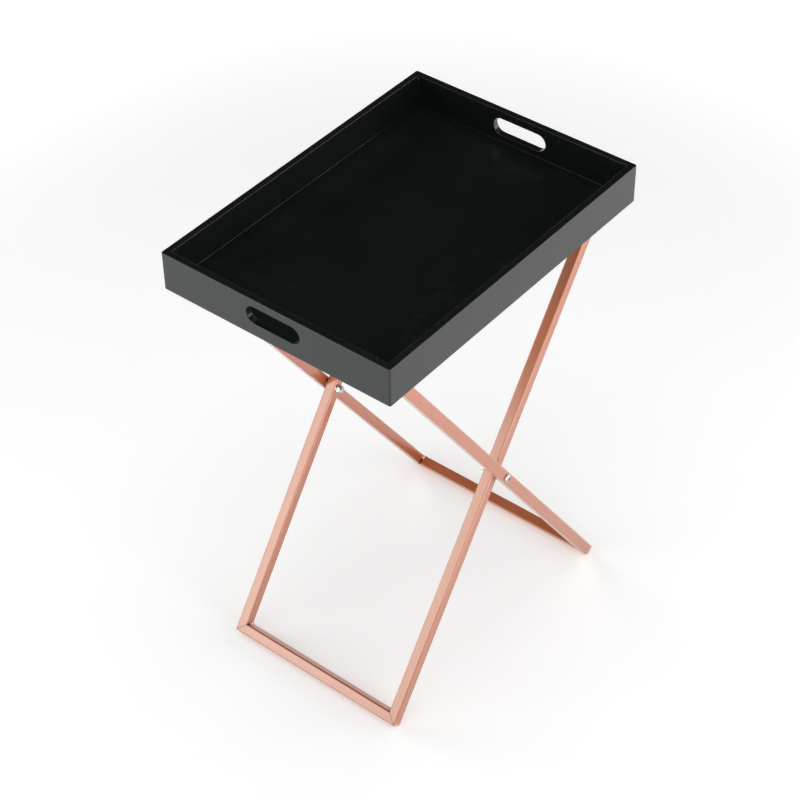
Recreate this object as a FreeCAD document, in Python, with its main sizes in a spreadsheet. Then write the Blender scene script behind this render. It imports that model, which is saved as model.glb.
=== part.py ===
import FreeCAD, Part
import math
import operator
import os
import types

import Sketcher

# A folding tray table: a black lacquered tray that rests on a folding X frame of square tube.
# X runs along the tray, Y along the pivot axis and Z up, from an origin on the floor under the
# middle of the tray. The front is the side towards -Y, and the left end is the one towards -X.

doc = FreeCAD.newDocument("folding_tray_table")
sheet = doc.addObject("Spreadsheet::Sheet", "Sizes")

# ---------------------------------------------------------------- driving sizes, in millimetres

SIZES = {
    "table_height": (665, "floor to the tray's rim"),
    "tray_length": (480, "outside of the tray, left to right"),
    "tray_width": (340, "outside of the tray, front to rear"),
    "tray_height": (54, "height of the tray's walls"),
    "wall_board": (9, "thickness of the wall boards"),
    "base_board": (9, "thickness of the base board"),
    "corner_round": (2.5, "radius on the tray's upright corners"),
    "rim_round": (1, "radius on the long edges of the wall boards"),
    "slot_length": (80, "hand slot, end to end"),
    "slot_height": (24, "hand slot, top to bottom"),
    "slot_drop": (23.5, "rim down to the middle of the hand slot"),
    "slot_round": (1, "radius around the hand slot's mouths"),
    "tube_side": (15, "outside of the square tube"),
    "tube_wall": (1.2, "wall of the square tube"),
    "bore_round": (0.8, "radius in the corners of the tube's bore"),
    "frame_inset": (15, "tray's side to the outer frame's side"),
    "side_gap": (1.5, "space between an inner and an outer leg"),
    "pivot_shift": (8, "pivot axis to the right of the tray's middle"),
    "seat_gap": (0.3, "space between the top bars and the tray"),
    "bead_width": (9, "stop bead, left to right"),
    "bead_spare": (0.5, "flat part of a bead below the place where a bar bears on it"),
    "bead_inset": (13.5, "inner frame's side to the end of a stop bead"),
    "bead_gap": (0.5, "space between a top bar and its stop bead"),
    "bead_round": (1.5, "radius on a bead's lower edges"),
    "screw_side": (6, "diameter of the pivot screw"),
    "screw_point": (0.8, "chamfer on the screw's tip"),
    "head_across": (11, "diameter of the screw's head"),
    "head_rim": (1.2, "straight part of the head's height"),
    "head_dome": (2.6, "domed part of the head's height"),
    "recess_length": (6.4, "cross recess, tip to tip"),
    "recess_width": (1.3, "width of the cross recess's arms"),
    "recess_depth": (2.2, "depth of the cross recess"),
    "thread_out": (1, "screw past the nut"),
    "running_gap": (0.05, "radial clearance of the screw in the legs and washers"),
    "slip_gap": (0.05, "end clearance of the turning faces"),
    "washer_across": (12, "outer diameter of washers and spacers"),
    "washer_depth": (1.6, "thickness of the washer under the nut"),
    "nut_flats": (10, "lock nut, across its flats"),
    "nut_hex": (4.6, "height of the nut's hexagon"),
    "nut_collar": (1.4, "height of the nut's round collar"),
    "insert_wall": (0.7, "wall of the nylon ring in the nut"),
    "collar_wall": (0.6, "wall of the nut's collar"),
}


class Size:
    """A length, an angle or a ratio: its number now, and the expression that ties it to the sheet."""

    def __init__(self, number, text):
        self.number = number
        self.text = text

    def join(self, sign, work, other, swapped=False):
        first, second = (as_size(other), self) if swapped else (self, as_size(other))
        return Size(work(first.number, second.number), f"({first.text} {sign} {second.text})")

    def __add__(self, other):
        return self.join("+", operator.add, other)

    def __sub__(self, other):
        return self.join("-", operator.sub, other)

    def __rsub__(self, other):
        return self.join("-", operator.sub, other, swapped=True)

    def __mul__(self, other):
        return self.join("*", operator.mul, other)

    def __rmul__(self, other):
        return self.join("*", operator.mul, other, swapped=True)

    def __truediv__(self, other):
        return self.join("/", operator.truediv, other)

    def __neg__(self):
        return 0 - self


def as_size(value):
    return value if isinstance(value, Size) else Size(float(value), str(float(value)))


def sine(angle):
    return Size(math.sin(math.radians(angle.number)), f"sin({angle.text})")


def cosine(angle):
    return Size(math.cos(math.radians(angle.number)), f"cos({angle.text})")


def slope_angle(rise, run):
    """The angle, in degrees, of a line that rises so much over so much."""
    degrees = math.degrees(math.atan(rise.number / run.number))
    return Size(degrees, f"(atan({rise.text} / {run.text}) / 1 deg)")


def add_row(name, cell, note):
    """Writes one row of the sheet: a name, the value under that name, and what it measures."""
    row = 1
    while sheet.getContents(f"A{row}"):
        row += 1
    sheet.set(f"A{row}", name)
    sheet.set(f"B{row}", cell)
    sheet.setAlias(f"B{row}", name)
    sheet.set(f"C{row}", note)


def worked_out(name, size, note):
    """Gives a size that follows from the others a row of its own, as a formula."""
    add_row(name, "=" + size.text.replace("Sizes.", ""), note)
    doc.recompute()
    return Size(size.number, f"Sizes.{name}")


for name, (number, note) in SIZES.items():
    add_row(name, str(number), note)
doc.recompute()
given = types.SimpleNamespace(**{name: Size(float(SIZES[name][0]), f"Sizes.{name}") for name in SIZES})

# ---------------------------------------------------------------- sizes that follow from those

half_length = given.tray_length / 2
half_width = given.tray_width / 2
half_tube = given.tube_side / 2
tube_round = worked_out("tube_round", given.bore_round + given.tube_wall, "outer corner of the tube")
tray_bottom = worked_out("tray_bottom", given.table_height - given.tray_height, "floor to the tray")
pivot_height = worked_out("pivot_height", (tray_bottom - given.seat_gap) / 2, "floor to the pivot")
outer_width = worked_out("outer_width", given.tray_width - 2 * given.frame_inset, "outer frame")
inner_width = worked_out(
    "inner_width", outer_width - 2 * (given.tube_side + given.side_gap), "inner frame")

# The legs lean so that the right-hand stop bead ends at the inside of the tray's end wall. The
# tube stands about this far out from its middle, both upwards and sideways, when it leans.
leaning_tube = (half_tube - tube_round) * math.sqrt(2) + tube_round
beside_bar = given.wall_board + given.bead_width + given.bead_gap
bar_middle = half_length - given.pivot_shift - beside_bar - leaning_tube
leg_angle = worked_out(
    "leg_angle", slope_angle(pivot_height - leaning_tube, bar_middle), "floor to a leg, in degrees")
corner_rise = (half_tube - tube_round) * cosine(leg_angle) + tube_round
leg_reach = worked_out(
    "leg_reach", (pivot_height - corner_rise) / sine(leg_angle) + tube_round, "pivot to a leg's end")
bar_out = worked_out(
    "bar_out",
    (leg_reach - tube_round) * cosine(leg_angle) + (half_tube - tube_round) * sine(leg_angle) + tube_round,
    "pivot to the outside of a bar, along the floor")

# A top bar bears on its stop bead this far below the tray, and the bead reaches past that place.
bar_bears = given.seat_gap + tube_round + 2 * (half_tube - tube_round) * cosine(leg_angle)
bead_height = worked_out(
    "bead_height", bar_bears + given.bead_spare + given.bead_round, "stop bead, top to bottom")

# ---------------------------------------------------------------- how a sub-part is drawn

NODES = []
X_AXIS = FreeCAD.Vector(1, 0, 0)
Y_AXIS = FreeCAD.Vector(0, 1, 0)
Z_AXIS = FreeCAD.Vector(0, 0, 1)
SAME = 1e-4
CUT_MARGIN = 1


def bind(thing, name, size):
    """Ties a property to the sheet. A dotted name reaches into a placement."""
    size = as_size(size)
    if "." not in name:
        setattr(thing, name, size.number)
    thing.setExpression(name, size.text)


def place(thing, x=0, y=0, height=0, axis=Z_AXIS, angle=0):
    """Puts a sub-part at a point, turned about one axis."""
    x, y, height, angle = as_size(x), as_size(y), as_size(height), as_size(angle)
    corner = FreeCAD.Vector(x.number, y.number, height.number)
    thing.Placement = FreeCAD.Placement(corner, FreeCAD.Rotation(axis, angle.number))
    bind(thing, "Placement.Base.x", x)
    bind(thing, "Placement.Base.y", y)
    bind(thing, "Placement.Base.z", height)
    bind(thing, "Placement.Rotation.Angle", angle)


def new_node(kind, name):
    """A sub-part of its own. Its name is also the name of its file."""
    thing = doc.addObject(kind, name)
    thing.Label = name
    NODES.append(thing)
    return thing


def new_body(name):
    return new_node("PartDesign::Body", name)


def new_sketch(body, role, lift=0):
    """A sketch on one of the body's own origin planes, lifted along that plane's normal."""
    sketch = body.newObject("Sketcher::SketchObject", body.Label + "_sketch")
    plane = next(feature for feature in body.Origin.OriginFeatures if feature.Role == role)
    sketch.AttachmentSupport = (plane, [""])
    sketch.MapMode = "FlatFace"
    bind(sketch, ".AttachmentOffset.Base.z", lift)
    return sketch


def hold(sketch, kind, edge, point, size):
    """Fixes one coordinate of a point of an edge, measured from the sketch's origin."""
    number = sketch.addConstraint(Sketcher.Constraint(kind, -1, 1, edge, point, size.number))
    sketch.setExpression(f"Constraints[{number}]", size.text)


def draw_outline(sketch, points):
    """Draws a closed outline, counter-clockwise. Each edge starts at its own (x, y). An edge that is
    an arc gives its centre too, as (x, y, centre x, centre y)."""
    points = [[as_size(value) for value in point] for point in points]
    starts = [FreeCAD.Vector(point[0].number, point[1].number, 0) for point in points]
    edges = []
    for point, start, end in zip(points, starts, starts[1:] + starts[:1]):
        if len(point) == 2:
            edges.append(sketch.addGeometry(Part.LineSegment(start, end), False))
            continue
        centre = FreeCAD.Vector(point[2].number, point[3].number, 0)
        angles = [math.atan2(tip.y - centre.y, tip.x - centre.x) for tip in (start, end)]
        circle = Part.Circle(centre, Z_AXIS, (start - centre).Length)
        edges.append(sketch.addGeometry(Part.ArcOfCircle(circle, *angles), False))
    for number, (point, edge) in enumerate(zip(points, edges)):
        hold(sketch, "DistanceX", edge, 1, point[0])
        hold(sketch, "DistanceY", edge, 1, point[1])
        if len(point) > 2:
            hold(sketch, "DistanceX", edge, 3, point[2])
        sketch.addConstraint(Sketcher.Constraint("Coincident", edges[number - 1], 2, edge, 1))


def draw_circle(sketch, radius):
    """Draws a circle about the sketch's origin."""
    edge = sketch.addGeometry(Part.Circle(FreeCAD.Vector(0, 0, 0), Z_AXIS, radius.number), False)
    sketch.addConstraint(Sketcher.Constraint("Coincident", edge, 3, -1, 1))
    number = sketch.addConstraint(Sketcher.Constraint("Radius", edge, radius.number))
    sketch.setExpression(f"Constraints[{number}]", radius.text)


def square(middle, side):
    """The four corners of a square whose middle is on the sketch's horizontal axis."""
    half = side / 2
    return [(middle - half, -half), (middle + half, -half), (middle + half, half), (middle - half, half)]


def pad(body, sketch, length, both_ways=False):
    feature = body.newObject("PartDesign::Pad", body.Label + "_pad")
    feature.Profile = sketch
    feature.Midplane = both_ways
    bind(feature, "Length", length)
    doc.recompute()


def turn(body, sketch):
    """Turns a half section about the sketch's horizontal axis."""
    feature = body.newObject("PartDesign::Revolution", body.Label + "_turn")
    feature.Profile = sketch
    feature.ReferenceAxis = (sketch, ["H_Axis"])
    feature.Angle = 360
    doc.recompute()


def cut(body, sketch, depth=None):
    """Cuts the sketch out of the body, to a depth or, with none, right through both ways."""
    before = body.Shape.Volume
    feature = body.newObject("PartDesign::Pocket", body.Label + "_cut")
    feature.Profile = sketch
    if depth is None:
        feature.Type = "ThroughAll"
        feature.Midplane = True
    else:
        bind(feature, "Length", depth)
    doc.recompute()
    if body.Shape.Volume > before - SAME:
        raise RuntimeError(f"{body.Label}: a cut took nothing away")


def round_edges(body, radius, wanted):
    """Rounds every edge of the body whose bounding box passes a test."""
    base = body.Tip
    edges = enumerate(base.Shape.Edges, start=1)
    names = [f"Edge{number}" for number, edge in edges if wanted(edge.BoundBox)]
    feature = body.newObject("PartDesign::Fillet", body.Label + "_round")
    feature.Base = (base, names)
    bind(feature, "Radius", radius)
    doc.recompute()


# ---------------------------------------------------------------- the tray


def mitred_board(half_run, half_across):
    """Plan of a wall board with mitred ends, for the wall that lies at +half_across along Y. Each
    end has half of the rounded corner that it shares with the next wall."""
    inner_run = half_run - given.wall_board
    inner_across = half_across - given.wall_board
    turn_run = half_run - given.corner_round
    turn_across = half_across - given.corner_round
    lean = given.corner_round * math.sqrt(0.5)
    return [
        (inner_run, inner_across),
        (turn_run + lean, turn_across + lean, turn_run, turn_across),
        (turn_run, half_across),
        (-turn_run, half_across, -turn_run, turn_across),
        (-turn_run - lean, turn_across + lean),
        (-inner_run, inner_across),
    ]


def tray_wall(name, half_run, half_across, angle):
    """A wall board, rounded along its rim and along its lower outer edge."""
    body = new_body(name)
    plan = new_sketch(body, "XY_Plane")
    draw_outline(plan, mitred_board(half_run, half_across))
    pad(body, plan, given.tray_height)
    middle = half_across.number - given.wall_board.number / 2

    def is_rounded(box):
        runs_along = box.ZLength < SAME and box.XLength > SAME
        is_mitre = box.YMin < middle < box.YMax
        is_top = box.ZMin > SAME
        is_outer = box.YMin > middle
        return runs_along and not is_mitre and (is_top or is_outer)

    round_edges(body, given.rim_round, is_rounded)
    place(body, height=tray_bottom, angle=angle)
    return body


def cut_hand_slot(body):
    """A hand slot with round ends, rounded over at both mouths."""
    slot = new_sketch(body, "XZ_Plane")
    radius = given.slot_height / 2
    half_flat = given.slot_length / 2 - radius
    middle = given.tray_height - given.slot_drop
    low, high = middle - radius, middle + radius
    draw_outline(slot, [
        (-half_flat, low),
        (half_flat, low, half_flat, middle),
        (half_flat, high),
        (-half_flat, high, -half_flat, middle),
    ])
    cut(body, slot)
    reach = given.slot_length.number / 2 + SAME

    def is_mouth(box):
        in_slot = -reach < box.XMin and box.XMax < reach
        clear_of_rims = box.ZMin > low.number - SAME and box.ZMax < high.number + SAME
        return in_slot and clear_of_rims and box.YLength < SAME

    round_edges(body, given.slot_round, is_mouth)


def tray_base():
    """The base board, glued in between the four walls and level with their lower edges."""
    board = new_node("Part::Box", "tray_base")
    run = given.tray_length - 2 * given.wall_board
    across = given.tray_width - 2 * given.wall_board
    bind(board, "Length", run)
    bind(board, "Width", across)
    bind(board, "Height", given.base_board)
    place(board, -run / 2, -across / 2, tray_bottom)


def stop_bead(name, side):
    """A bead glued under the tray, outside a top bar, so that the frame can't spread. The side is
    -1 on the left and 1 on the right."""
    body = new_body(name)
    middle = side * (bar_out + given.bead_gap + given.bead_width / 2)
    section = new_sketch(body, "XZ_Plane")
    left, right = middle - given.bead_width / 2, middle + given.bead_width / 2
    draw_outline(section, [(left, -bead_height), (right, -bead_height), (right, 0), (left, 0)])
    pad(body, section, inner_width - 2 * given.bead_inset, both_ways=True)
    round_edges(body, given.bead_round, lambda box: box.ZMax < -SAME and box.YLength > SAME)
    place(body, given.pivot_shift, 0, tray_bottom)


# ---------------------------------------------------------------- the folding frame


def tube(body, plane, middle, length, lift, angle):
    """A length of square tube whose middle line is so far from the origin of the plane it starts on."""
    section = new_sketch(body, plane, lift)
    draw_outline(section, square(middle, given.tube_side))
    draw_outline(section, square(middle, given.tube_side - 2 * given.tube_wall))
    pad(body, section, length)
    place(body, given.pivot_shift, 0, pivot_height, Y_AXIS, angle)


def round_tube(body, length_of, middle_of, middle):
    """Rounds the long edges, outside and inside. The two tests give a box's length along the tube
    and its middle across the frame."""
    half = half_tube.number
    bore = half - given.tube_wall.number

    def is_corner(box, distance):
        across = abs(middle_of(box) - middle.number)
        runs_along = length_of(box) > box.DiagonalLength - SAME
        return runs_along and abs(across - distance) < SAME and abs(abs(box.ZMax) - distance) < SAME

    round_edges(body, tube_round, lambda box: is_corner(box, half))
    round_edges(body, given.bore_round, lambda box: is_corner(box, bore))


def cut_mitre(body, width, end, side, on_leg):
    """Cuts one mitre of a frame, on the leg or on the bar that meets there. The end is -1 at the
    foot and 1 at the top, and the side is -1 at the front and 1 at the rear."""
    outside_run, outside_across = end * (leg_reach + CUT_MARGIN), side * (width / 2 + CUT_MARGIN)
    inside_run = end * (leg_reach - given.tube_side - CUT_MARGIN)
    inside_across = side * (width / 2 - given.tube_side - CUT_MARGIN)
    corner = (outside_run, inside_across) if on_leg else (inside_run, outside_across)
    waste = new_sketch(body, "XY_Plane")
    draw_outline(waste, [(outside_run, outside_across), (inside_run, inside_across), corner])
    cut(body, waste)


def leg(name, width, side, angle):
    """One leg: square tube along the body's X axis, mitred at both ends, drilled at the pivot."""
    body = new_body(name)
    middle = side * (width / 2 - half_tube)
    tube(body, "YZ_Plane", middle, 2 * leg_reach, -leg_reach, angle)
    for end in (-1, 1):
        cut_mitre(body, width, end, side, on_leg=True)
    round_tube(body, lambda box: box.XLength, lambda box: box.Center.y, middle)
    hole = new_sketch(body, "XZ_Plane")
    draw_circle(hole, given.screw_side / 2 + given.running_gap)
    cut(body, hole)


def cross_bar(name, width, end, angle):
    """A foot bar or a top bar: square tube along the body's Y axis, mitred at both ends."""
    body = new_body(name)
    middle = end * (leg_reach - half_tube)
    tube(body, "XZ_Plane", middle, width, -width / 2, angle)
    for side in (-1, 1):
        cut_mitre(body, width, end, side, on_leg=False)
    round_tube(body, lambda box: box.YLength, lambda box: box.Center.x, middle)


def frame_of_tube(prefix, width, angle):
    """A closed frame of two legs, a foot bar and a top bar. The angle turns the body's X axis,
    which points from the foot to the top, up from the floor."""
    leg(prefix + "_leg_front", width, -1, angle)
    leg(prefix + "_leg_rear", width, 1, angle)
    cross_bar(prefix + "_foot_bar", width, -1, angle)
    cross_bar(prefix + "_top_bar", width, 1, angle)


# ---------------------------------------------------------------- the pivots

# Each pivot is drawn along its own X axis, which runs outwards from the middle of the table.
outer_face = outer_width / 2
inner_face = inner_width / 2
washer_end = inner_face - given.tube_side
nut_end = washer_end - given.washer_depth
hex_end = nut_end - given.nut_hex
collar_end = hex_end - given.nut_collar
screw_radius = given.screw_side / 2
hole_radius = screw_radius + given.running_gap
insert_radius = screw_radius + given.insert_wall


def at_pivot(body, side):
    place(body, given.pivot_shift, 0, pivot_height, Z_AXIS, 90 * side)


def ring(name, side, low, high, bore, outside):
    """A flat ring about the pivot axis."""
    body = new_body(name)
    half = new_sketch(body, "XY_Plane")
    draw_outline(half, [(low, bore), (high, bore), (high, outside), (low, outside)])
    turn(body, half)
    at_pivot(body, side)


def pivot_screw(name, side):
    """A pan-head screw with a cross recess. Its head is on the outer leg, its tip past the nut."""
    body = new_body(name)
    tip = collar_end - given.thread_out
    under_head = outer_face + given.slip_gap
    shoulder = under_head + given.head_rim
    crown = shoulder + given.head_dome
    head_radius = given.head_across / 2
    dome_radius = (given.head_dome * given.head_dome + head_radius * head_radius) / (2 * given.head_dome)
    half = new_sketch(body, "XY_Plane")
    draw_outline(half, [
        (tip, 0),
        (crown, 0, crown - dome_radius, 0),
        (shoulder, head_radius),
        (under_head, head_radius),
        (under_head, screw_radius),
        (tip + given.screw_point, screw_radius),
        (tip, screw_radius - given.screw_point),
    ])
    turn(body, half)
    arm, rib = given.recess_length / 2, given.recess_width / 2
    recess = new_sketch(body, "YZ_Plane", crown)
    draw_outline(recess, [
        (arm, -rib), (arm, rib), (rib, rib), (rib, arm),
        (-rib, arm), (-rib, rib), (-arm, rib), (-arm, -rib),
        (-rib, -rib), (-rib, -arm), (rib, -arm), (rib, -rib),
    ])
    cut(body, recess, given.recess_depth)
    at_pivot(body, side)


def lock_nut(name, side):
    """A hexagon with a round collar that holds a nylon ring."""
    body = new_body(name)
    half = given.nut_flats / 2
    corner = half * (2 / math.sqrt(3))
    hexagon = new_sketch(body, "YZ_Plane", hex_end)
    draw_outline(hexagon, [
        (corner, 0), (corner / 2, half), (-corner / 2, half),
        (-corner, 0), (-corner / 2, -half), (corner / 2, -half),
    ])
    pad(body, hexagon, given.nut_hex)
    collar = new_sketch(body, "YZ_Plane", collar_end)
    draw_circle(collar, insert_radius + given.collar_wall)
    pad(body, collar, given.nut_collar)
    thread = new_sketch(body, "YZ_Plane", nut_end)
    draw_circle(thread, screw_radius)
    cut(body, thread)
    pocket = new_sketch(body, "YZ_Plane", hex_end)
    draw_circle(pocket, insert_radius)
    cut(body, pocket, given.nut_collar)
    at_pivot(body, side)


def pivot(end_name, side):
    """Screw, spacer between the legs, washer, lock nut and its nylon ring, at one end of the axis.
    The side is -1 at the front and 1 at the rear."""
    washer_radius = given.washer_across / 2
    spacer_end = outer_face - given.tube_side - given.slip_gap
    pivot_screw("pivot_screw_" + end_name, side)
    ring("pivot_spacer_" + end_name, side, inner_face, spacer_end, hole_radius, washer_radius)
    ring("nut_washer_" + end_name, side, nut_end, washer_end, hole_radius, washer_radius)
    lock_nut("lock_nut_" + end_name, side)
    ring("nut_insert_" + end_name, side, collar_end, hex_end, screw_radius, insert_radius)


# ---------------------------------------------------------------- assembly

tray_base()
tray_wall("tray_side_rear", half_length, half_width, 0)
tray_wall("tray_side_front", half_length, half_width, 180)
cut_hand_slot(tray_wall("tray_end_left", half_width, half_length, 90))
cut_hand_slot(tray_wall("tray_end_right", half_width, half_length, -90))
stop_bead("stop_bead_left", -1)
stop_bead("stop_bead_right", 1)
frame_of_tube("inner", inner_width, -leg_angle)
frame_of_tube("outer", outer_width, leg_angle - 180)
pivot("front", -1)
pivot("rear", 1)
doc.recompute()

for thing in doc.Objects:
    if {"Invalid", "Error"} & set(thing.State):
        raise RuntimeError(f"{thing.Label} did not build: {thing.State}")
for node in NODES:
    if node.Shape.isNull() or not node.Shape.isValid():
        raise RuntimeError(f"{node.Label} has no valid shape")

os.makedirs("parts", exist_ok=True)
for node in NODES:
    node.Shape.exportStep(f"parts/{node.Label}.step")
    print(f"{node.Label}: {len(node.Shape.Solids)} solid, {node.Shape.Volume:.0f} mm3")
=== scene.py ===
import math
import random

import bmesh
import bpy
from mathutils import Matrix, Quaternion, Vector, noise


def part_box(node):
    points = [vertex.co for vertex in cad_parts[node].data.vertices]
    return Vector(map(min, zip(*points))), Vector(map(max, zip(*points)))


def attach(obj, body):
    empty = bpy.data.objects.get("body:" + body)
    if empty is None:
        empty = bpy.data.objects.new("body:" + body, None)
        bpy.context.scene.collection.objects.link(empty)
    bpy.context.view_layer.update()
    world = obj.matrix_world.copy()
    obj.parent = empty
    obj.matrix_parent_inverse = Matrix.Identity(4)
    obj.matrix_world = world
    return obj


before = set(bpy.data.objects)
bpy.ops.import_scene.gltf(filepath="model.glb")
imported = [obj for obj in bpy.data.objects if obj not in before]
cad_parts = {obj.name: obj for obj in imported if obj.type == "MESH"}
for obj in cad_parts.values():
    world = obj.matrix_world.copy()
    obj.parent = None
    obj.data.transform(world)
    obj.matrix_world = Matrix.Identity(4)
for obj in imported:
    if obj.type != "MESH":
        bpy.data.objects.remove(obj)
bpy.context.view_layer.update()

# ---------------------------------------------------------------- the lacquered tray boards
# Nine-millimetre board, mitred at the corners and glued, with the base let in between the walls.
# Every face has the same black lacquer, sprayed and rubbed to a satin shine: it has a slight
# orange peel, dulls a little where hands and dishes rub it, and holds a few specks of dust.

TRAY_BOARDS = ["tray_base", "tray_side_front", "tray_side_rear", "tray_end_left", "tray_end_right"]
STOP_BEADS = ["stop_bead_left", "stop_bead_right"]

LACQUER_DEEP = (0.0062, 0.0075, 0.0080)
LACQUER_PALE = (0.0088, 0.0104, 0.0110)
LACQUER_IOR = 1.53
LACQUER_ROUGHNESS = 0.19
HAZE_DULLING = 0.10
RUB_DULLING = 0.05
PEEL_RISE = 0.00002
DUST_COLOUR = (0.30, 0.30, 0.29)
DUST_SPECK = (0.012, 0.008)
DUST_SHARE = 0.8


class Value:
    """A socket among some nodes. Sums written on it add the Math nodes that work them out."""

    def __init__(self, finish, socket):
        self.finish = finish
        self.socket = socket

    def math(self, operation, first, second):
        return self.finish.node("ShaderNodeMath", {"operation": operation}, {0: first, 1: second})

    def __add__(self, other):
        return self.math("ADD", self, other)

    def __radd__(self, other):
        return self.math("ADD", other, self)

    def __sub__(self, other):
        return self.math("SUBTRACT", self, other)

    def __rsub__(self, other):
        return self.math("SUBTRACT", other, self)

    def __mul__(self, other):
        return self.math("MULTIPLY", self, other)

    def __rmul__(self, other):
        return self.math("MULTIPLY", other, self)

    def size(self):
        """The value without its sign."""
        return self.finish.node("ShaderNodeMath", {"operation": "ABSOLUTE"}, {0: self})

    def within(self, low, high, start=0, end=1):
        """Runs from start to end, smoothly, as the value goes from low to high."""
        return self.finish.node(
            "ShaderNodeMapRange",
            {"interpolation_type": "SMOOTHSTEP"},
            {"Value": self, "From Min": low, "From Max": high, "To Min": start, "To Max": end},
        )


class Finish:
    """The nodes of a new material, or of the surround, built up one at a time."""

    def __init__(self, wearer):
        self.wearer = wearer
        self.wearer.use_nodes = True
        self.tree = self.wearer.node_tree
        self.tree.nodes.clear()

    def node(self, kind, settings=None, values=None, output=0):
        node = self.tree.nodes.new(kind)
        for name, setting in (settings or {}).items():
            setattr(node, name, setting)
        for name, value in (values or {}).items():
            if isinstance(value, Value):
                self.tree.links.new(value.socket, node.inputs[name])
            else:
                node.inputs[name].default_value = value
        return Value(self, node.outputs[output]) if node.outputs else None

    def place(self):
        """Where a point is on the table at rest, in metres."""
        return self.node("ShaderNodeTexCoord", output="Object")

    def along(self, direction):
        """How far a point is along a direction, in metres."""
        return self.node(
            "ShaderNodeVectorMath",
            {"operation": "DOT_PRODUCT"},
            {0: self.place(), 1: direction},
            output="Value",
        )

    def vector(self, x, y, z):
        return self.node("ShaderNodeCombineXYZ", {}, {"X": x, "Y": y, "Z": z})

    def noise(self, vector, scale, detail=2.0, roughness=0.5):
        return self.node(
            "ShaderNodeTexNoise",
            {},
            {"Vector": vector, "Scale": scale, "Detail": detail, "Roughness": roughness},
        )

    def blend(self, share, first, second):
        """A colour between two colours. This node's colour sockets can only be reached by number."""
        first, second = [(*c, 1) if isinstance(c, tuple) else c for c in (first, second)]
        sockets = {0: share, 6: first, 7: second}
        return self.node("ShaderNodeMix", {"data_type": "RGBA"}, sockets, output=2)

    def bump(self, height, distance, strength=1.0):
        return self.node(
            "ShaderNodeBump", {}, {"Height": height, "Distance": distance, "Strength": strength})

    def coat(self, **values):
        """Ends a material's nodes in one surface shader."""
        inputs = {name.replace("_", " "): value for name, value in values.items()}
        surface = self.node("ShaderNodeBsdfPrincipled", {}, inputs)
        self.node("ShaderNodeOutputMaterial", {}, {"Surface": surface})
        return self.wearer


def new_finish(name):
    return Finish(bpy.data.materials.new(name))


def black_lacquer():
    finish = new_finish("black_lacquer")
    place = finish.place()
    peel = finish.noise(place, scale=900.0, detail=1.0)
    haze = finish.noise(place, scale=14.0, detail=4.0, roughness=0.6)
    rubbed = finish.noise(place, scale=60.0, detail=5.0, roughness=0.7).within(0.5, 0.75)
    speck = finish.node(
        "ShaderNodeTexVoronoi",
        {"feature": "F1"},
        {"Vector": place, "Scale": 24.0},
        output="Distance",
    )
    dust = speck.within(*DUST_SPECK)
    depth = finish.blend(haze, LACQUER_DEEP, LACQUER_PALE)
    return finish.coat(
        Base_Color=finish.blend(dust * DUST_SHARE, depth, DUST_COLOUR),
        Roughness=LACQUER_ROUGHNESS + haze * HAZE_DULLING + rubbed * RUB_DULLING,
        IOR=LACQUER_IOR,
        Normal=finish.bump(peel, PEEL_RISE),
    )


def paint(nodes, material):
    """Gives CAD nodes a finish."""
    for name in nodes:
        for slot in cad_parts[name].material_slots:
            slot.material = material


lacquer = black_lacquer()
paint(TRAY_BOARDS + STOP_BEADS, lacquer)

# ---------------------------------------------------------------- the lacquer in the tray's corners
# Sprayed lacquer gathers in a thin fillet where the base meets the four walls and up the four
# inside mitres. It dries hollow and uneven, and it catches a thin line of light.

FILLET_LEG = 0.0006
FILLET_SINK = 0.0003
FILLET_STEP = 0.006
FILLET_HOLLOW = -0.9
FILLET_UNEVEN = 0.35
FILLET_UNEVEN_PER_METRE = 40
FILLET_BELOW_RIM = 0.003


def mesh_object(name, mesh_code, material):
    """A new piece whose mesh the code fills in."""
    data = bpy.data.meshes.new(name)
    mesh = bmesh.new()
    mesh_code(mesh)
    bmesh.ops.recalc_face_normals(mesh, faces=mesh.faces)
    for face in mesh.faces:
        face.smooth = True
    mesh.to_mesh(data)
    mesh.free()
    data.materials.append(material)
    piece = bpy.data.objects.new(name, data)
    bpy.context.scene.collection.objects.link(piece)
    return piece


def skin(mesh, rings):
    """A closed solid over rings of points, with a flat cap on each end."""
    rows = [[mesh.verts.new(point) for point in ring] for ring in rings]
    count = len(rows[0])
    for row, following in zip(rows, rows[1:]):
        for i in range(count):
            j = (i + 1) % count
            mesh.faces.new((row[i], row[j], following[j], following[i]))
    mesh.faces.new(rows[0])
    mesh.faces.new(rows[-1])


def fillet_ring(corner, first, second, leg, sink, bulge, arc_steps=6):
    """A corner's filling seen end on: sunk behind the corner, and curved in front of it."""
    ring = [corner - (first + second) * sink]
    ring.append(corner + first * leg - second * sink)
    for step in range(arc_steps + 1):
        share = step / arc_steps
        flat = first * (leg * (1 - share)) + second * (leg * share)
        rise = (first + second) * (leg * bulge * share * (1 - share))
        ring.append(corner + flat + rise)
    ring.append(corner + second * leg - first * sink)
    return ring


def corner_fillet(mesh, start, end, first, second):
    steps = max(2, round((end - start).length / FILLET_STEP))
    rings = []
    for step in range(steps + 1):
        corner = start.lerp(end, step / steps)
        leg = FILLET_LEG * (1 + FILLET_UNEVEN * noise.noise(corner * FILLET_UNEVEN_PER_METRE))
        rings.append(fillet_ring(corner, first, second, leg, FILLET_SINK, FILLET_HOLLOW))
    skin(mesh, rings)


def tray_inside():
    """The lowest and highest corners of the space between the walls."""
    left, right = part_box("tray_end_left"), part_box("tray_end_right")
    front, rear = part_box("tray_side_front"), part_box("tray_side_rear")
    low = Vector((left[1].x, front[1].y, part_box("tray_base")[1].z))
    high = Vector((right[0].x, rear[0].y, rear[1].z))
    return low, high


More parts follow.
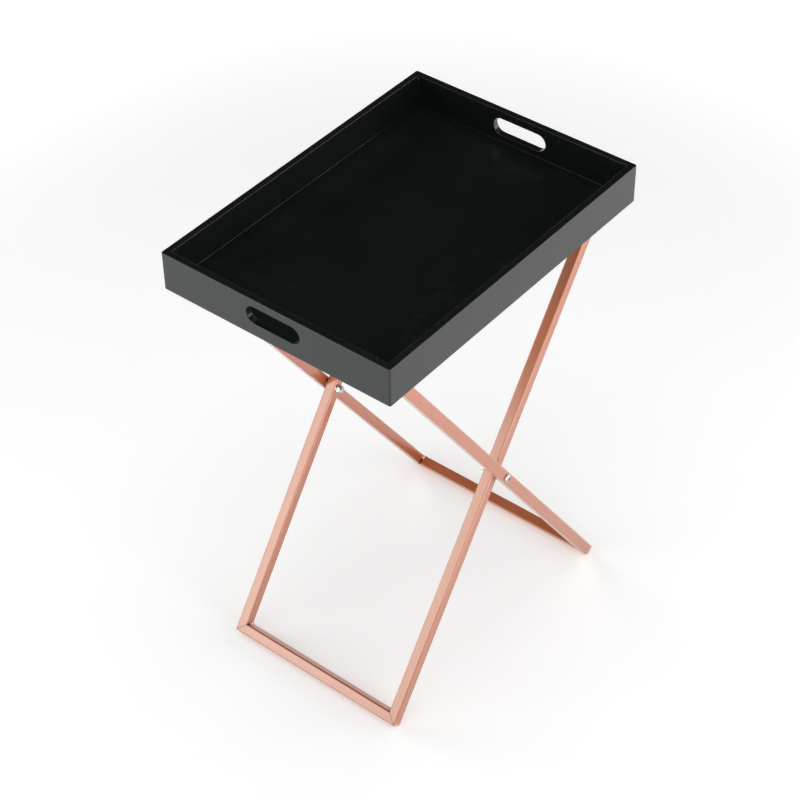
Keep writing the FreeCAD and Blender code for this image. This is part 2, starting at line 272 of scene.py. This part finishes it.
def lacquer_fillets():
    """Each fillet's two ends, and the two directions that it spreads in."""
    low, high = tray_inside()
    x, y, z = Vector((1, 0, 0)), Vector((0, 1, 0)), Vector((0, 0, 1))
    near_left, near_right = low, Vector((high.x, low.y, low.z))
    far_left, far_right = Vector((low.x, high.y, low.z)), Vector((high.x, high.y, low.z))
    up = z * (high.z - low.z - FILLET_BELOW_RIM)
    return {
        "lacquer_fillet_front": (near_left, near_right, y, z),
        "lacquer_fillet_rear": (far_left, far_right, -y, z),
        "lacquer_fillet_left": (near_left, far_left, x, z),
        "lacquer_fillet_right": (near_right, far_right, -x, z),
        "lacquer_corner_near_left": (near_left, near_left + up, x, y),
        "lacquer_corner_near_right": (near_right, near_right + up, -x, y),
        "lacquer_corner_far_left": (far_left, far_left + up, x, -y),
        "lacquer_corner_far_right": (far_right, far_right + up, -x, -y),
    }


for name, line in lacquer_fillets().items():
    fillet = mesh_object(name, lambda mesh: corner_fillet(mesh, *line), lacquer)
    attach(fillet, "tray")

# ---------------------------------------------------------------- the copper-plated frames
# Two closed frames of 15 mm square steel tube, mitred, welded and ground, then brushed along
# each tube, plated in rose copper and clear-lacquered. The brushing runs along every tube.

COPPER_DEEP = (0.485, 0.138, 0.056)
COPPER_PALE = (0.525, 0.160, 0.067)
COPPER_ROUGHNESS = 0.50
STROKE_DULLING = 0.10
CLOUD_DULLING = 0.05
CLEAR_COAT = {"Coat_Roughness": 0.18, "Coat_IOR": 2.02}

STROKES_PER_METRE = (12.0, 2600.0)
STROKE_RISE = 0.00002
STREAKS_PER_METRE = (3.0, 420.0)
STREAK_COLOUR = (0.63, 0.225, 0.105)
STREAK_SHARE = 0.25

# Painted highlight: a paler copper spot on the outside corner of each mitre.
CORNER_HIGHLIGHT_FADE = (0.0040, 0.0022)
CORNER_HIGHLIGHT_COLOUR = (0.88, 0.66, 0.54)
CORNER_HIGHLIGHT_SHARE = 0.55
# Painted shade: darker copper, with a thinner clear coat, along the inside corner of each mitre.
CORNER_SHADE_FADE = (0.0026, 0.0010)
CORNER_SHADE_COLOUR = (0.07, 0.02, 0.012)
CORNER_SHADE_SHARE = 0.85
CORNER_SHADE_COAT_LOSS = 0.25
SEAM_FADE = (0.0008, 0.0003)
SEAM_COLOUR = (0.12, 0.035, 0.02)
SEAM_SHARE = 0.85
SEAM_COAT_LOSS = 0.7


def middle(node):
    low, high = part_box(node)
    return (low + high) / 2


class TubeFrame:
    """The lines of one welded frame: up a leg, across the frame, and out of its plane."""

    def __init__(self, name):
        self.name = name
        self.foot = middle(name + "_foot_bar")
        self.top = middle(name + "_top_bar")
        self.front = middle(name + "_leg_front")
        self.rear = middle(name + "_leg_rear")
        self.up = (self.top - self.foot).normalized()
        self.across = Vector((0, 1, 0))
        self.out = self.up.cross(self.across)
        low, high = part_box(name + "_leg_front")
        self.tube = high.y - low.y


def mitre_seam_shade_and_highlight(finish, frame_lines):
    """The seams at a frame's four mitres, with painted shade and a painted highlight.

    Each mitre has a hairline seam, painted shade that darkens its inside corner, and a painted
    highlight that brightens its outside corner.
    """
    half = frame_lines.tube / 2
    half_height = (frame_lines.top - frame_lines.foot).length / 2
    half_width = (frame_lines.rear.y - frame_lines.front.y) / 2
    centre = (frame_lines.foot + frame_lines.top) / 2
    from_bar = half_height - (finish.along(frame_lines.up) - centre.dot(frame_lines.up)).size()
    from_leg = half_width - finish.along(frame_lines.across).size()
    filled = finish.noise(finish.place(), scale=70.0).within(0.20, 0.50)
    seam = (from_bar - from_leg).size().within(*SEAM_FADE) * filled
    corner_shade = ((from_bar - half).size() + (from_leg - half).size()).within(*CORNER_SHADE_FADE)
    corner_highlight = ((from_bar + half).size() + (from_leg + half).size()).within(*CORNER_HIGHLIGHT_FADE)
    return seam, corner_shade, corner_highlight


def drawn_noise(finish, directions, per_metre, detail):
    """Noise drawn out along the first direction, and fine across the other two."""
    slow, fine = per_metre
    rates = (slow, fine, fine)
    drawn = [finish.along(direction) * rate for direction, rate in zip(directions, rates)]
    return finish.noise(finish.vector(*drawn), scale=1.0, detail=detail)


def brushed_copper(name, directions, frame_lines):
    finish = new_finish(name)
    strokes = drawn_noise(finish, directions, STROKES_PER_METRE, detail=3.0)
    streaks = drawn_noise(finish, directions, STREAKS_PER_METRE, detail=2.0).within(0.35, 0.65)
    cloud = finish.noise(finish.place(), scale=22.0, detail=4.0, roughness=0.6)
    # The hairline seams, with painted shade in the inside corners and a painted highlight on the
    # outside corners.
    seam, corner_shade, corner_highlight = mitre_seam_shade_and_highlight(finish, frame_lines)
    shade = finish.blend(cloud, COPPER_DEEP, COPPER_PALE)
    brushed = finish.blend(streaks * STREAK_SHARE, shade, STREAK_COLOUR)
    # Paints a highlight on each mitre's outside corner.
    highlighted = finish.blend(corner_highlight * CORNER_HIGHLIGHT_SHARE, brushed, CORNER_HIGHLIGHT_COLOUR)
    # Paints shade into each mitre's inside corner.
    burn_and_shade = finish.blend(corner_shade * CORNER_SHADE_SHARE, highlighted, CORNER_SHADE_COLOUR)
    return finish.coat(
        Base_Color=finish.blend(seam * SEAM_SHARE, burn_and_shade, SEAM_COLOUR),
        Metallic=1.0,
        Roughness=COPPER_ROUGHNESS + strokes * STROKE_DULLING + cloud * CLOUD_DULLING,
        Coat_Weight=1.0 - seam * SEAM_COAT_LOSS - corner_shade * CORNER_SHADE_COAT_LOSS,
        Normal=finish.bump(strokes, STROKE_RISE, strength=0.4),
        **CLEAR_COAT,
    )


tube_frames = [TubeFrame("inner"), TubeFrame("outer")]
for tube_frame in tube_frames:
    name = tube_frame.name
    up, across, out = tube_frame.up, tube_frame.across, tube_frame.out
    leg_copper = brushed_copper(f"copper_{name}_legs", (up, across, out), tube_frame)
    bar_copper = brushed_copper(f"copper_{name}_bars", (across, up, out), tube_frame)
    paint([f"{name}_leg_front", f"{name}_leg_rear"], leg_copper)
    paint([f"{name}_foot_bar", f"{name}_top_bar"], bar_copper)

# ---------------------------------------------------------------- the weld beads in the frames
# One short bead of weld lies in each inside corner, from the tube's back edge, and stops short of
# the front. It isn't ground, so it keeps its ripples under the plating.

BEAD_RUNS = {"inner": (0.0085, 0.0100), "outer": (0.0055, 0.0070)}
BEAD_INSET = (0.0006, 0.0010)
BEAD_LEG = 0.0031
BEAD_LEG_SPREAD = (0.9, 1.1)
BEAD_BULGE = 0.85
BEAD_SINK = 0.0004
BEAD_BLUNT_END = 0.06
BEAD_LUMP = 0.11
BEAD_LUMPS_ALONG = 3.5
BEAD_RIPPLE = 0.028
BEAD_RIPPLE_LENGTH = 0.0014
BEAD_RIPPLE_DRIFT = 0.5
BEAD_RINGS = 48

WELD_PALE = (0.70, 0.34, 0.22)
WELD_BURNT = (0.40, 0.12, 0.07)
WELD_BURNT_SHARE = 0.4
WELD_SCALE_RISE = 0.00006

weld_chance = random.Random(31)


def plated_weld():
    finish = new_finish("copper_welds")
    place = finish.place()
    scale = finish.noise(place, scale=900.0, detail=3.0)
    # Random burnt patches on the weld metal; in the frames' copper the same name carries painted
    # shade.
    burn_and_shade = finish.noise(place, scale=240.0, detail=2.0).within(0.45, 0.7)
    return finish.coat(
        Base_Color=finish.blend(burn_and_shade * WELD_BURNT_SHARE, WELD_PALE, WELD_BURNT),
        Metallic=1.0,
        Roughness=0.30 + scale * 0.15,
        Coat_Weight=1.0,
        Coat_Roughness=0.10,
        Coat_IOR=2.3,
        Normal=finish.bump(scale, WELD_SCALE_RISE, strength=0.5),
    )


def weld_bead(mesh, start, along, first, second, length, leg):
    """One bead: round-ended, humped, and rippled where the pool set step by step."""
    rings = []
    drift = Vector((weld_chance.uniform(0, 9), weld_chance.uniform(0, 9), 0))
    for step in range(BEAD_RINGS + 1):
        share = step / BEAD_RINGS
        swell = max(BEAD_BLUNT_END, (1 - abs(2 * share - 1) ** 3) ** 0.5)
        lump = noise.noise(drift + Vector((0, 0, share * BEAD_LUMPS_ALONG)))
        stride = share * length / BEAD_RIPPLE_LENGTH + BEAD_RIPPLE_DRIFT * lump
        ripple = 1 + BEAD_RIPPLE * abs(math.sin(math.pi * stride)) + BEAD_LUMP * lump
        corner = start + along * (length * share)
        rings.append(fillet_ring(
            corner, first, second, leg * swell * ripple, BEAD_SINK, BEAD_BULGE * swell, arc_steps=8))
    skin(mesh, rings)


def corner_weld(mesh, corner, first, second, frame_lines):
    """The bead in one inside corner of a frame."""
    length = weld_chance.uniform(*BEAD_RUNS[frame_lines.name])
    inset = weld_chance.uniform(*BEAD_INSET)
    leg = BEAD_LEG * weld_chance.uniform(*BEAD_LEG_SPREAD)
    start = corner - frame_lines.out * (frame_lines.tube / 2 - inset)
    weld_bead(mesh, start, frame_lines.out, first, second, length, leg)


weld_metal = plated_weld()
for tube_frame in tube_frames:
    half = tube_frame.tube / 2
    for bar, bar_middle, inward in (("foot", tube_frame.foot, 1), ("top", tube_frame.top, -1)):
        for end, leg_y, side in (("front", tube_frame.front.y, 1), ("rear", tube_frame.rear.y, -1)):
            corner = bar_middle + tube_frame.up * (half * inward)
            corner.y = leg_y + half * side
            first, second = tube_frame.up * inward, tube_frame.across * side
            weld = mesh_object(
                f"weld_{tube_frame.name}_{bar}_{end}",
                lambda mesh: corner_weld(mesh, corner, first, second, tube_frame),
                weld_metal,
            )
            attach(weld, tube_frame.name + "_frame")

# ---------------------------------------------------------------- the pivot hardware
# Pan-head screws, spacers, washers and lock nuts of bright zinc-plated steel, one set on each
# side. Each nut holds a pressed-in nylon ring, which grips the screw so that it can't work loose.

HARDWARE = ["pivot_screw", "pivot_spacer", "nut_washer", "lock_nut"]
ENDS = ["front", "rear"]

ZINC_PALE = (0.60, 0.61, 0.62)
ZINC_DULL = (0.46, 0.47, 0.49)
TURNING_RISE = 0.00001
NYLON_PALE = (0.46, 0.47, 0.46)
NYLON_DULL = (0.36, 0.37, 0.36)
NYLON_IOR = 1.53


def zinc_plate():
    finish = new_finish("zinc_plate")
    place = finish.place()
    turned = finish.noise(place, scale=1800.0, detail=2.0)
    cloud = finish.noise(place, scale=300.0, detail=3.0)
    return finish.coat(
        Base_Color=finish.blend(cloud, ZINC_PALE, ZINC_DULL),
        Metallic=1.0,
        Roughness=0.24 + cloud * 0.16,
        Normal=finish.bump(turned, TURNING_RISE, strength=0.4),
    )


def nylon():
    finish = new_finish("nylon")
    cloud = finish.noise(finish.place(), scale=700.0)
    return finish.coat(
        Base_Color=finish.blend(cloud, NYLON_PALE, NYLON_DULL),
        Roughness=0.45 + cloud * 0.1,
        IOR=NYLON_IOR,
    )


zinc = zinc_plate()
paint([f"{piece}_{end}" for piece in HARDWARE for end in ENDS], zinc)
paint([f"nut_insert_{end}" for end in ENDS], nylon())

# ---------------------------------------------------------------- the thread on the screws' ends
# The rolled thread shows on the last turns of each screw, where it stands out of its lock nut.
# It is one ridge of the screw's own steel, which winds out over the chamfered point.

SCREW_RADIUS = 0.003
SCREW_POINT = 0.0008
THREAD_PITCH = 0.0005
THREAD_RISE = 0.00022
THREAD_LEAST_RISE = 0.00002
THREAD_SINK = 0.0002
THREAD_FOOT_SHARE = 0.34
THREAD_CREST_SHARE = 0.25
THREAD_FADE = 8
THREAD_STEPS = 40


def rolled_thread(mesh, axis_x, axis_z, root, tip):
    """A ridge that winds round the screw's axis, between two places along it."""
    reach = abs(tip - root)
    turns = reach / THREAD_PITCH
    count = round(turns * THREAD_STEPS)
    half_foot = Vector((0, (tip - root) / reach * THREAD_PITCH * THREAD_FOOT_SHARE, 0))
    half_crest = half_foot * THREAD_CREST_SHARE
    rings = []
    for step in range(count + 1):
        share = step / count
        angle = 2 * math.pi * turns * share
        spoke = Vector((math.cos(angle), 0, math.sin(angle)))
        centre = Vector((axis_x, root + (tip - root) * share, axis_z))
        chamfer = max(0, reach * share - (reach - SCREW_POINT))
        radius = SCREW_RADIUS - chamfer
        fade = min(1, THREAD_FADE * share, THREAD_FADE * (1 - share))
        rise = THREAD_RISE * fade + THREAD_LEAST_RISE
        foot = centre + spoke * (radius - THREAD_SINK)
        crest = centre + spoke * (radius + rise)
        rings.append([foot - half_foot, crest - half_crest, crest + half_crest, foot + half_foot])
    skin(mesh, rings)


for end in ENDS:
    screw_low, screw_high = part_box(f"pivot_screw_{end}")
    nut_low, nut_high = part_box(f"lock_nut_{end}")
    screw_middle = (screw_low + screw_high) / 2
    root = nut_high.y if end == "front" else nut_low.y
    tip = screw_high.y if end == "front" else screw_low.y
    thread = mesh_object(
        f"screw_thread_{end}",
        lambda mesh: rolled_thread(mesh, screw_middle.x, screw_middle.z, root, tip),
        zinc,
    )
    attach(thread, "inner_frame")

# ---------------------------------------------------------------- the floor, the lights and the camera
# A plain pale floor, which glows more with distance so that it shows no edge. Soft panels stand
# all round the table and over it, and the surround is bright only at the horizon.

FLOOR_REACH = 9.0
FLOOR_DROP = 0.0002
FLOOR_DULL = (0.86, 0.86, 0.86)
FLOOR_PALE = (0.88, 0.88, 0.88)
GLOW_NEAR = (0.31, 0.31, 0.31)
GLOW_FAR = (1, 1, 1)
GLOW_RISE = (1.0, 2.4)


def pale_floor():
    finish = new_finish("pale_floor")
    cloud = finish.noise(finish.place(), scale=2.0)
    distance = finish.node(
        "ShaderNodeVectorMath", {"operation": "LENGTH"}, {0: finish.place()}, output="Value")
    return finish.coat(
        Base_Color=finish.blend(cloud, FLOOR_DULL, FLOOR_PALE),
        Roughness=0.9,
        Specular_IOR_Level=0.0,
        Emission_Color=finish.blend(distance.within(*GLOW_RISE), GLOW_NEAR, GLOW_FAR),
        Emission_Strength=1.0,
    )


def floor_sheet(mesh):
    corners = [(-1, -1), (1, -1), (1, 1), (-1, 1)]
    mesh.faces.new([mesh.verts.new((x * FLOOR_REACH, y * FLOOR_REACH, 0)) for x, y in corners])


floor = mesh_object("floor", floor_sheet, pale_floor())
floor.location.z = -FLOOR_DROP

# Each panel's place, width, height and power and, where it isn't white, its colour.
PANEL_AIM = Vector((0, 0, 0.3))
PANELS = {
    "left_rear_low": ((-1.6, 0.95, 0.6), 1.0, 0.9, 7.6, (0.86, 1.0, 0.97)),
    "rear_left_low": ((-1.1, 1.6, 0.7), 1.0, 1.0, 1.2),
    "left_high": ((-2.0, 0.0, 1.8), 1.4, 1.4, 9.0),
    "front_left": ((-1.4, -1.8, 1.6), 1.4, 1.4, 7.0),
    "front_left_low": ((-1.25, -2.05, 0.45), 1.1, 0.35, 11.0),
    "front": ((0.2, -2.4, 1.6), 1.4, 1.4, 16.0),
    "front_right": ((1.6, -1.8, 1.0), 1.4, 1.1, 14.5),
    "right": ((2.2, -0.3, 1.4), 1.4, 1.4, 8.5),
    "rear": ((0.0, 2.2, 1.6), 1.4, 1.4, 17.0),
    "overhead": ((0.0, 0.0, 3.0), 2.0, 2.0, 18.0),
    "front_low": ((0.0, -2.2, 0.5), 1.2, 0.8, 3.0),
}


def facing(direction):
    """The turn that points a light or a camera along a direction."""
    return direction.to_track_quat("-Z", "Y")


def add_to_scene(name, data, place, turn):
    item = bpy.data.objects.new(name, data)
    item.location = place
    item.rotation_mode = "QUATERNION"
    item.rotation_quaternion = turn
    bpy.context.scene.collection.objects.link(item)
    return item


def soft_panel(name, place, width, height, power, colour=(1, 1, 1)):
    panel = bpy.data.lights.new(name, "AREA")
    panel.color = colour
    panel.shape = "RECTANGLE"
    panel.size = width
    panel.size_y = height
    panel.energy = power
    add_to_scene(name, panel, place, facing(PANEL_AIM - Vector(place)))


for name, panel in PANELS.items():
    soft_panel(name, *panel)

HORIZON_BAND = (0.08, 0.32)
WHITE = (1, 1, 1, 1)


def surround():
    """A world that is bright at the horizon, as the floor is, and dark overhead."""
    world = bpy.data.worlds.new("surround")
    finish = Finish(world)
    direction = finish.node("ShaderNodeTexCoord", output="Generated")
    height = finish.node("ShaderNodeSeparateXYZ", {}, {"Vector": direction}, output="Z")
    brightness = height.within(*HORIZON_BAND, start=1, end=0)
    glow = finish.node("ShaderNodeBackground", {}, {"Color": WHITE, "Strength": brightness})
    finish.node("ShaderNodeOutputWorld", {}, {"Surface": glow})
    bpy.context.scene.world = world


surround()
bpy.context.scene.view_settings.view_transform = "Standard"

CAMERA_AIM = Vector((0.3042, 0.2581, 0.0))
CAMERA_AZIMUTH = math.radians(-50.92)
CAMERA_ELEVATION = math.radians(41.94)
CAMERA_ROLL = math.radians(-0.83)
CAMERA_DISTANCE = 3.2822
CAMERA_LENS = 96.50
CAMERA_SENSOR = 36.0


def add_camera():
    back = Vector((
        math.sin(CAMERA_AZIMUTH) * math.cos(CAMERA_ELEVATION),
        -math.cos(CAMERA_AZIMUTH) * math.cos(CAMERA_ELEVATION),
        math.sin(CAMERA_ELEVATION),
    ))
    lens = bpy.data.cameras.new("camera")
    lens.lens = CAMERA_LENS
    lens.sensor_width = CAMERA_SENSOR
    place = CAMERA_AIM + back * CAMERA_DISTANCE
    turn = facing(-back) @ Quaternion((0, 0, 1), CAMERA_ROLL)
    bpy.context.scene.camera = add_to_scene("camera", lens, place, turn)


add_camera()
